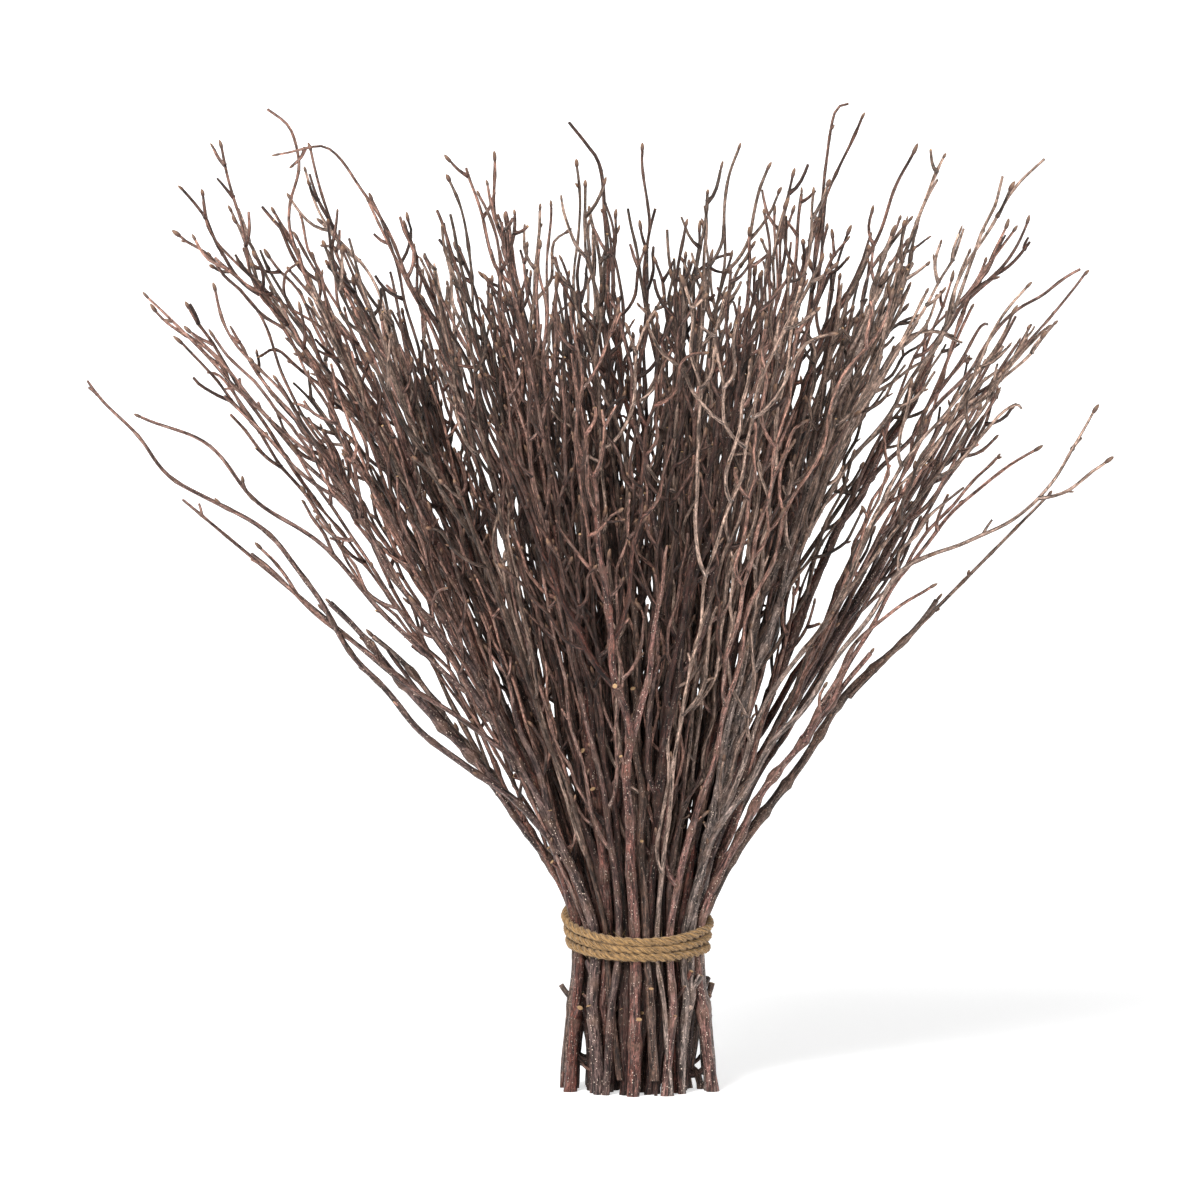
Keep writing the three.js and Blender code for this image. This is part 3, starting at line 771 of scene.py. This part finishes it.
# One half of the reef knot, in rope diameters: across, out from the stems, and up.
KNOT_HALF = [(-1.5, 0.95, 0.5), (-0.7, 1.0, 0.5), (0, 1.0, 0.62), (0.8, 0.2, 1.15), (1.5, 0, 0.65),
             (1.7, 0, 0), (1.5, 0, -0.65), (0.8, 0.0, -1.1), (0, 0.05, -0.6), (-0.75, 0.85, -0.5),
             (-1.5, 0.95, -0.6)]
LEFT_TAIL = [(-2.3, 0.8, -1.0), (-3.1, 0.4, -2.0), (-3.5, 0.2, -3.3)]
RIGHT_TAIL = [(2.3, 0.8, 0.9), (3.3, 0.6, 0.5), (4.1, 0.4, -0.7), (4.4, 0.3, -2.0)]


def smooth_step(share):
    share = np.clip(share, 0, 1)
    return share * share * (3 - 2 * share)


def stems_reach(lines, middle, angles, heights):
    """How far the stems reach from their middle: the tight loop round them, at angles from the back."""
    levels = np.arange(TIE_BOTTOM - 4, TIE_TOP + 5)
    rows = [np.column_stack([np.interp(levels, stem[:, 2], stem[:, k]) for k in (0, 1, 3)])
            for stem, _ in lines.values()]
    stems = np.stack(rows, axis=1)
    ways = np.linspace(0, 2 * np.pi, 97)[:-1]
    facing = ((stems[..., 0] - middle[0])[..., None] * np.sin(ways)
              + (stems[..., 1] - middle[1])[..., None] * np.cos(ways) + stems[..., 2:3]).max(1)
    level = np.clip(np.round(heights - levels[0]).astype(int), 0, len(levels) - 1)
    aligned = np.cos(angles[:, None] - ways[None])
    return np.where(aligned > 0.3, facing[level] / np.maximum(aligned, 0.3), np.inf).min(1)


def rope_line(lines):
    """The rope's centre line: one tail, the knot, three turns, the knot again and the other tail."""
    middle = np.mean([even_rows(stem, 3.0)[20, :2] for stem, _ in lines.values()], axis=0)
    whole = ROPE_TURNS * 2 * np.pi
    turned = np.linspace(KNOT_START, whole - KNOT_START, 330)
    clear = smooth_step((np.minimum(turned, whole - turned) - 0.6 * KNOT_START) / KNOT_SPAN)
    front = ROPE_LOWEST_FRONT + ROPE_PITCH * (turned / (2 * np.pi) - 0.5)
    rise = np.interp(turned, (0, whole), ROPE_BACK_RISE) * (1 + np.cos(turned)) / 2
    level = KNOT_HEIGHT + np.where(turned < whole / 2, -1, 1) * ROPE_RADIUS * 0.6
    height = level + (front + rise - level) * clear
    reach = stems_reach(lines, middle, turned, height) + 0.9 * ROPE_RADIUS
    reach += 2 * ROPE_RADIUS * (1 - clear)
    turns = np.column_stack([middle[0] + reach * np.sin(turned), middle[1] + reach * np.cos(turned), height])
    turns = softened(turns, 3.0)
    wide = 2 * ROPE_RADIUS
    base = np.array([middle[0], max(turns[0, 1], turns[-1, 1]) + 0.6, KNOT_HEIGHT])
    half = np.array(KNOT_HALF)
    left = base + wide * np.vstack([half, LEFT_TAIL])
    right = base + wide * np.vstack([half * (-1, 1, -1), RIGHT_TAIL])
    return curve_through(np.vstack([right[::-1], turns[::8], left]), ROPE_STEP)


def carried_axes(points):
    """Two unit vectors across a line, carried along it without twist."""
    tangents = unit(np.gradient(points, axis=0))
    across = [perpendicular(tangents[0], UP + 0.01)]
    for tangent in tangents[1:]:
        across.append(perpendicular(tangent, across[-1]))
    across = np.array(across)
    return across, np.cross(tangents, across)


def add_fibre(skin, rng, start, heading, bend, length):
    along = np.linspace(0, 1, 5)[:, None]
    points = start + along * length * heading + along ** 2 * length * bend
    skin.tube(points, np.array([0.07, 0.065, 0.055, 0.045, 0.03]), 3, 0.8 + 0.2 * rng.random(),
              seed=rng.random())


def dress_rope(lines):
    """The jute rope: three strands twisted together, fluffy, with frayed tails."""
    rng = np.random.default_rng(ROPE_SEED)
    skin = Skin()
    centre = rope_line(lines)
    across, other = carried_axes(centre)
    run = run_length(centre)
    from_end = np.minimum(run, run[-1] - run)
    splay = 1 + 0.9 * np.exp(-from_end / 2.5)
    tangents = unit(np.gradient(centre, axis=0))
    for strand in range(STRANDS):
        phase = 2 * np.pi * (run / LAY + strand / STRANDS)
        out = np.cos(phase)[:, None] * across + np.sin(phase)[:, None] * other
        points = centre + (STRAND_OFFSET * ROPE_RADIUS * splay)[:, None] * out
        uneven = unevenness(rng, (len(run), 1), 2, 0.12)[:, 0]
        radii = STRAND_RADIUS * ROPE_RADIUS * uneven
        lumps = unevenness(rng, (len(run), 10), 1.0, 0.07)
        skin.tube(points, radii, 10, rng.uniform(0.3, 0.6), seed=rng.random(), lumps=lumps,
                  axes=carried_axes(points), spin=-2.6 / LAY)
        for index in rng.integers(2, len(run) - 2, 230):
            spread = unit(out[index] + 0.8 * rng.normal(size=3))
            heading = unit(rng.choice([-1, 1]) * tangents[index] + 0.45 * spread)
            start = points[index] + radii[index] * 0.8 * spread
            add_fibre(skin, rng, start, heading, 0.5 * rng.normal(size=3), rng.uniform(1.2, 3.6))
        for end, sign in ((0, -1), (-1, 1)):
            for _ in range(14):
                heading = unit(sign * tangents[end] + 0.45 * rng.normal(size=3))
                start = points[end] + 0.5 * radii[end] * rng.normal(size=3)
                add_fibre(skin, rng, start, heading, 0.4 * rng.normal(size=3), rng.uniform(2, 6))
    piece = skin.piece("binding_rope_twisted", [jute_material()])
    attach(piece, "root")
    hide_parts("binding_rope")


# -------- materials

class Nodes:
    """Short calls for building a material's nodes."""

    def __init__(self, name):
        self.material = bpy.data.materials.new(name)
        self.material.use_nodes = True
        self.tree = self.material.node_tree
        self.shader = self.tree.nodes["Principled BSDF"]

    def add(self, kind, **given):
        """A new node. What is given under a name is an input of that name, or else a setting."""
        node = self.tree.nodes.new("ShaderNode" + kind)
        for key, value in given.items():
            if key in node.inputs:
                self.feed(node.inputs[key], value)
            else:
                setattr(node, key, value)
        return node

    def feed(self, socket, value):
        if isinstance(value, bpy.types.NodeSocket):
            self.tree.links.new(value, socket)
        else:
            socket.default_value = value

    def attribute(self, name, output="Fac"):
        return self.add("Attribute", attribute_name=name).outputs[output]

    def math(self, operation, one, two=0.0):
        node = self.add("Math", operation=operation)
        self.feed(node.inputs[0], one)
        self.feed(node.inputs[1], two)
        return node.outputs[0]

    def times(self, one, two):
        return self.math("MULTIPLY", one, two)

    def ramp(self, value, low, high, start=0.0, end=1.0):
        node = self.add("MapRange", interpolation_type="SMOOTHSTEP")
        for socket, given in zip(node.inputs, (value, low, high, start, end)):
            self.feed(socket, given)
        return node.outputs[0]

    def mix(self, share, one, two, blend="MIX"):
        node = self.add("Mix", data_type="RGBA", blend_type=blend)
        self.feed(node.inputs["Factor"], share)
        self.feed(node.inputs[6], one)
        self.feed(node.inputs[7], two)
        return node.outputs[2]

    def scaled(self, vector, scale):
        return self.add("Mapping", Vector=vector, Scale=scale).outputs[0]

    def noise(self, vector, detail, rough=0.55, scale=1.0):
        node = self.add("TexNoise", Vector=vector, Scale=scale, Detail=detail, Roughness=rough)
        return node.outputs["Fac"]

    def streaked(self, grain, scale, detail, rough=0.55):
        """Noise that is drawn out along the wood or the strand."""
        return self.noise(self.scaled(grain, scale), detail, rough)

    def dots(self, vector):
        node = self.add("TexVoronoi", Vector=vector, Scale=1.0, Randomness=0.9)
        return node.outputs["Distance"], node.outputs["Color"]

    def bump(self, height, strength, distance):
        return self.add("Bump", Height=height, Strength=strength, Distance=distance).outputs[0]

    def finish(self, colour, roughness, normal, specular):
        self.feed(self.shader.inputs["Base Color"], colour)
        self.feed(self.shader.inputs["Roughness"], roughness)
        self.feed(self.shader.inputs["Normal"], normal)
        self.shader.inputs["Specular IOR Level"].default_value = specular
        return self.material


def rgb(red, green, blue):
    """A colour given as on screen, from 0 to 255."""
    share = np.array([red, green, blue]) / 255
    linear = np.where(share <= 0.04045, share / 12.92, ((share + 0.055) / 1.055) ** 2.4)
    return (*linear, 1.0)


def bark_material(name, warm, cold, young):
    """Birch bark: streaked along the stem and patchy, with pale pores. Young wood is paler, without them."""
    nodes = Nodes(name)
    grain = nodes.attribute("grain", "Vector")
    tone, age, scar = (nodes.attribute(key) for key in ("tone", "age", "scar"))
    streaks = nodes.streaked(grain, (0.95, 0.95, 0.09), 5, 0.7)
    furrows = nodes.streaked(grain, (2.4, 2.4, 0.2), 5, 0.7)
    patches = nodes.streaked(grain, (0.2, 0.2, 0.06), 3)
    film = nodes.streaked(grain, (0.6, 0.6, 0.16), 5, 0.7)
    mottle = nodes.streaked(grain, (1.4, 1.4, 0.6), 5, 0.75)
    patchy = nodes.math("ADD", tone, nodes.times(patches, 0.9))
    older = nodes.mix(nodes.ramp(patchy, 0.6, 1.2), warm, cold)
    base = nodes.mix(nodes.ramp(age, 0.05, 0.45), young, older)
    shade = nodes.times(nodes.ramp(streaks, 0.37, 0.63, 0.15, 1.9),
                        nodes.ramp(mottle, 0.38, 0.62, 0.35, 1.75))
    shade = nodes.times(shade, nodes.ramp(furrows, 0.35, 0.65, 0.5, 1.45))
    base = nodes.mix(1.0, base, shade, "MULTIPLY")
    base = nodes.mix(nodes.ramp(film, 0.52, 0.66, 0.0, 0.45), base, rgb(150, 127, 117))
    pore = pores(nodes, grain, age)
    base = nodes.mix(nodes.times(pore, 0.9), base, rgb(226, 204, 186))
    base = nodes.mix(nodes.times(scar, 0.4), base, rgb(104, 80, 66))
    # Darker or paler by the twig's tone: random per twig, and on the inner stems, which get low tones, this
    # darkening is painted shade for the gaps deep in the bundle.
    base = nodes.mix(1.0, base, nodes.ramp(tone, 0.0, 1.0, 0.26, 1.2), "MULTIPLY")
    height = nodes.math("ADD", nodes.math("ADD", furrows, streaks), nodes.times(mottle, 0.5))
    height = nodes.math("ADD", height, nodes.times(pore, 0.4))
    roughness = nodes.ramp(mottle, 0.3, 0.75, 0.3, 0.6)
    return nodes.finish(base, roughness, nodes.bump(height, 1.0, 0.45 * MM), 0.2)


def pores(nodes, grain, age):
    """How much of a pale pore there is: small dots of mixed size, only on bark that isn't young."""
    distance, spot = nodes.dots(nodes.scaled(grain, (1.05, 1.05, 0.8)))
    split = nodes.add("SeparateColor")
    nodes.feed(split.inputs[0], spot)
    width = nodes.ramp(split.outputs[0], 0.0, 1.0, 0.03, 0.25)
    pore = nodes.ramp(nodes.math("SUBTRACT", width, distance), -0.03, 0.05)
    return nodes.times(pore, nodes.ramp(age, 0.1, 0.45))


def jute_material():
    """Golden jute: fine pale and dark fibres along each strand, matte with a slight sheen."""
    nodes = Nodes("jute_fibre")
    grain, tone = nodes.attribute("grain", "Vector"), nodes.attribute("tone")
    fibres = nodes.streaked(grain, (2.6, 2.6, 0.4), 5, 0.7)
    clumps = nodes.streaked(grain, (1.2, 1.2, 0.3), 3)
    base = nodes.mix(nodes.ramp(fibres, 0.36, 0.64), rgb(44, 30, 15), rgb(167, 132, 88))
    base = nodes.mix(nodes.ramp(clumps, 0.4, 0.7, 0.0, 0.5), base, rgb(136, 104, 62))
    base = nodes.mix(nodes.ramp(tone, 0.7, 0.9, 0.0, 0.6), base, rgb(186, 156, 110))
    nodes.shader.inputs["Sheen Weight"].default_value = 0.15
    return nodes.finish(base, 0.85, nodes.bump(fibres, 1.0, 0.5 * MM), 0.2)


def bud_material():
    """Bud scales: brown, paler towards the tip, with uneven bands."""
    nodes = Nodes("bud_scales")
    grain = nodes.attribute("grain", "Vector")
    along, tone = nodes.attribute("scar"), nodes.attribute("tone")
    bands = nodes.streaked(grain, (1.2, 1.2, 1.1), 2)
    base = nodes.mix(nodes.ramp(along, 0.1, 0.9), rgb(66, 44, 36), rgb(120, 90, 68))
    base = nodes.mix(nodes.ramp(bands, 0.42, 0.66, 0.0, 0.6), base, rgb(60, 38, 32))
    base = nodes.mix(nodes.ramp(tone, 0.2, 0.9, 0.0, 0.35), base, rgb(92, 74, 62))
    return nodes.finish(base, 0.55, nodes.bump(bands, 0.6, 0.2 * MM), 0.4)


def cut_material():
    """Sawn wood: pale, with a darker pith, faint rings and a bark rim."""
    nodes = Nodes("cut_wood")
    grain, place = nodes.attribute("grain", "Vector"), nodes.attribute("age")
    speckle = nodes.noise(grain, 4, 0.7, scale=3.0)
    rings = nodes.math("SINE", nodes.times(place, 26.0))
    base = nodes.mix(nodes.ramp(speckle, 0.35, 0.7), rgb(170, 140, 104), rgb(124, 96, 68))
    base = nodes.mix(nodes.ramp(rings, 0.2, 1.0, 0.0, 0.3), base, rgb(128, 94, 62))
    base = nodes.mix(nodes.ramp(place, 0.16, 0.05), base, rgb(88, 60, 42))
    base = nodes.mix(nodes.ramp(place, 0.88, 0.96), base, rgb(58, 38, 34))
    return nodes.finish(base, 0.75, nodes.bump(speckle, 0.5, 0.15 * MM), 0.25)


# -------- the pieces

# Each bark's colours by slot: old wood where it is warm and where it is cold, then young wood.
BARK_COLOURS = {
    "red_brown_bark": ((100, 57, 47), (82, 58, 53), (113, 84, 73)),
    "dark_bark": ((70, 44, 38), (63, 49, 46), (103, 77, 68)),
    "grey_brown_bark": ((101, 75, 63), (92, 81, 76), (121, 100, 88)),
}


def dress_twigs(lines):
    """One detailed piece in place of each twig solid and each inner bundle's solid."""
    barks = {slot: bark_material(slot, *(rgb(*colour) for colour in colours))
             for slot, colours in BARK_COLOURS.items()}
    others = [bud_material(), cut_material()]
    slots = {row["node"]: row["material_slot"] for row in frame["record"]["subparts"]}
    reaching = reaching_twigs(lines)
    for number, (name, (stem, fork)) in enumerate(sorted(lines.items())):
        rng = np.random.default_rng(TWIG_SEED + number)
        # Inner stems get low tones so their bark comes out darker: painted shade for the gaps deep in the
        # bundle. Outer stems' tones vary at random.
        tone = rng.uniform(0, 0.35) if name.startswith("inner") else rng.uniform(0.2, 1)
        skin = Skin()
        if name.startswith("inner"):
            for line in inner_stems(rng, even_rows(stem, SLICE_GAP), 4 + number % 2):
                dress_stem(skin, rng, line, 8, np.clip(tone + rng.normal(0.08, 0.15), 0, 1))
        else:
            dress_stem(skin, rng, stem, 10, tone)
        if fork is not None:
            dress_fork(skin, rng, fork, tone)
        for points, radius in reaching.get(name, []):
            dress_reaching(skin, rng, points, radius, tone)
        piece = skin.piece(name + "_grown", [barks[slots[name]], *others])
        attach(piece, "root")
        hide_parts(name)


# -------- studio, in metres

CAMERA_DISTANCE = 2.5
CAMERA_TILT = np.radians(1.5)
FRAMING = 1.222
AIM_RAISED = 3.0
FLOOR_RINGS = (1.5, 3.5)
FLOOR_RADIUS, WALL_BEND, WALL_HEIGHT = 5.0, 1.5, 2.6
WALL_SIDES = 96
LIT_PLACE = (0, 0, 0.2)
WORLD_STRENGTH = 0.15


def make_studio():
    """A round pale floor that bends up into a low wall all the way round, so any side can be viewed."""
    bend = np.linspace(0, np.pi / 2, 12)
    outer = [(FLOOR_RADIUS + WALL_BEND * np.sin(angle), WALL_BEND * (1 - np.cos(angle))) for angle in bend]
    inner = [(ring, 0) for ring in FLOOR_RINGS]
    profile = np.array([*inner, *outer, (FLOOR_RADIUS + WALL_BEND, WALL_HEIGHT)])
    turns = np.linspace(0, 2 * np.pi, WALL_SIDES, endpoint=False)
    rings = [(r * np.cos(turn), r * np.sin(turn), z) for r, z in profile for turn in turns]
    faces = [tuple(range(WALL_SIDES))]
    for first in range(0, WALL_SIDES * (len(profile) - 1), WALL_SIDES):
        for k in range(WALL_SIDES):
            near, far = first + k, first + (k + 1) % WALL_SIDES
            faces.append((near, near + WALL_SIDES, far + WALL_SIDES, far))
    mesh = bpy.data.meshes.new("studio_round")
    mesh.from_pydata(rings, [], faces)
    mesh.shade_smooth()
    mesh.materials.append(studio_paper())
    studio = placed("studio_round", mesh)


def studio_paper():
    """Pale paper that glows a little more with distance, as an evenly lit backdrop does."""
    nodes = Nodes("studio_paper")
    length = nodes.add("VectorMath", operation="LENGTH")
    nodes.feed(length.inputs[0], nodes.add("TexCoord").outputs["Object"])
    nodes.shader.inputs["Base Color"].default_value = (0.7, 0.7, 0.7, 1)
    nodes.shader.inputs["Roughness"].default_value = 0.9
    nodes.shader.inputs["Emission Color"].default_value = (1, 1, 1, 1)
    glow = nodes.ramp(length.outputs["Value"], 0.2, 2.5, 0.6, 0.95)
    nodes.feed(nodes.shader.inputs["Emission Strength"], glow)
    nodes.material.cycles.emission_sampling = "NONE"
    return nodes.material


def add_light(name, place, size, power):
    light = bpy.data.lights.new(name, "AREA")
    light.shape = "DISK"
    light.size = size
    light.energy = power
    lamp = placed(name, light)
    lamp.location = place
    lamp.rotation_euler = (Vector(LIT_PLACE) - Vector(place)).to_track_quat("-Z", "Y").to_euler()


def make_camera():
    """Nearly level with the bundle's middle, far off with a long lens, framed on the whole bundle."""
    lens = bpy.data.cameras.new("camera")
    lens.sensor_width = 36
    lens.lens = lens.sensor_width * CAMERA_DISTANCE / (FRAMING * (HIGH[0] - LOW[0]) * MM)
    camera = placed("camera", lens)
    aim = Vector((LOW[0] + HIGH[0], 0, LOW[2] + HIGH[2] + AIM_RAISED)) * 0.5 * MM
    back = Vector((0, -np.cos(CAMERA_TILT), np.sin(CAMERA_TILT)))
    camera.location = aim + CAMERA_DISTANCE * back
    camera.rotation_euler = (-back).to_track_quat("-Z", "Y").to_euler()
    bpy.context.scene.camera = camera


def make_world():
    world = bpy.data.worlds.new("studio_world")
    world.use_nodes = True
    world.node_tree.nodes["Background"].inputs[0].default_value = (1, 1, 1, 1)
    world.node_tree.nodes["Background"].inputs[1].default_value = WORLD_STRENGTH
    bpy.context.scene.world = world
    bpy.context.scene.view_settings.view_transform = "Standard"


LINES = {name: level_lines(name) for name in frame["nodes"] if "twig" in name}
dress_twigs(LINES)
dress_rope(LINES)
make_studio()
add_light("key", place=(-0.8, -1.9, 1.6), size=0.9, power=94)
add_light("fill", place=(1.6, -1.0, 0.7), size=0.8, power=9)
make_world()
make_camera()
